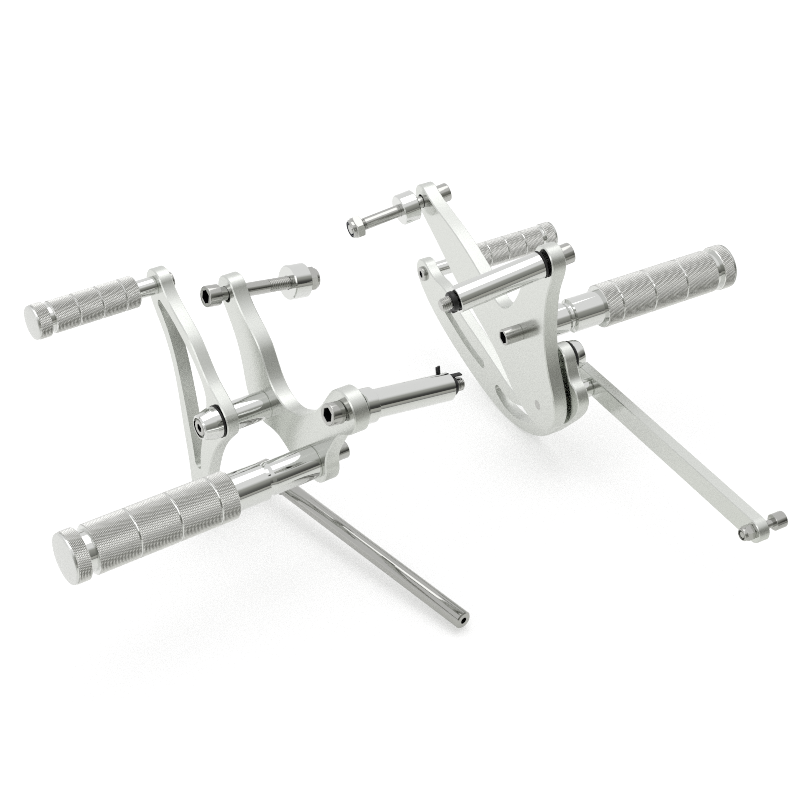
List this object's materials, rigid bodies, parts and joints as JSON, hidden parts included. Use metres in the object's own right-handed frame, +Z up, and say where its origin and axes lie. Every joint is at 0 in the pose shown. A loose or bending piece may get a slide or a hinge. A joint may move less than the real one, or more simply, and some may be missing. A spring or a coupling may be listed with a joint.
{
  "type": "motorcycle forward controls",
  "caption": "Pair of motorcycle forward controls: billet brackets with knurled foot pegs, a shift lever with its rod and a brake lever with its link bar.",
  "frame": {"origin": "centre of the shift bracket's front bolt hole on the bracket's outboard face", "axes": "+X forward, +Y to the rider's left, +Z up"},
  "size_m": [0.4441, 0.5946, 0.2031],
  "materials": {
    "bracket_alu": "satin with brighter milled edges",
    "lever_alu": "satin with brighter milled edges",
    "peg_alu": "knurled, satin end face",
    "polished_alu": "mirror polished",
    "steel": "bright zinc or stainless",
    "bush_brass": "turned",
    "tie_plastic": "black moulded",
    "seal_rubber": "black",
    "insert_plastic": "blue moulded"
  },
  "bodies": {
    "brackets": {"brake_bracket": "bracket_alu", "brake_foot_peg": "peg_alu", "brake_front_bolt": "steel", "brake_front_insert": "insert_plastic", "brake_front_nut": "steel", "brake_front_spacer": "polished_alu", "brake_peg_post": "polished_alu", "brake_peg_screw": "steel", "brake_pin": "steel", "brake_rear_bolt": "steel", "brake_rear_ring": "tie_plastic", "brake_rear_tie": "tie_plastic", "brake_rear_tube": "polished_alu", "shift_bracket": "bracket_alu", "shift_foot_peg": "peg_alu", "shift_front_bolt": "steel", "shift_front_insert": "insert_plastic", "shift_front_nut": "steel", "shift_front_spacer": "polished_alu", "shift_peg_post": "polished_alu", "shift_peg_screw": "steel", "shift_pivot_cap": "polished_alu", "shift_pivot_screw": "steel", "shift_pivot_seal": "seal_rubber", "shift_pivot_sleeve": "polished_alu", "shift_rear_bolt": "steel", "shift_rear_ring": "polished_alu", "shift_rear_tie": "tie_plastic", "shift_rear_tube": "polished_alu"},
    "shift_arm": {"shift_lever": "lever_alu", "shift_lever_bush": "bush_brass", "shift_toe_peg": "peg_alu", "shift_toe_stub": "polished_alu", "shift_toe_bolt": "steel", "rod_end_bolt": "steel", "rod_end_spacer": "polished_alu", "rod_end_ball": "steel", "rod_end_nut": "steel"},
    "rod": {"rod_end_housing": "steel", "rod_jam_nut": "steel", "shift_rod": "steel"},
    "brake_arm": {"brake_lever": "lever_alu", "brake_lever_bush": "bush_brass", "brake_crank_sleeve": "polished_alu", "link_bar": "lever_alu", "bar_bolt": "steel", "bar_nut": "steel", "brake_lobe_seal": "seal_rubber", "brake_lobe_cap": "polished_alu", "brake_lobe_screw": "steel", "brake_toe_stub": "polished_alu", "brake_toe_peg": "peg_alu", "brake_toe_bolt": "steel"}
  },
  "joints": [
    {"name": "shift_lever_pivot", "type": "hinge", "parent": "brackets", "child": "shift_arm", "pos_m": [-0.046, 0.033, -0.069], "axis": [0, 1, 0], "range_deg": [-12, 12]},
    {"name": "shift_rod_swing", "type": "hinge", "parent": "shift_arm", "child": "rod", "pos_m": [-0.009, -0.02, -0.157], "axis": [0, 1, 0], "range_deg": [-10, 10]},
    {"name": "brake_lever_pivot", "type": "hinge", "parent": "brackets", "child": "brake_arm", "pos_m": [-0.10379, -0.23025, -0.11852], "axis": [0.1544, 0.9858, -0.0663], "range_deg": [0, 7]}
  ]
}
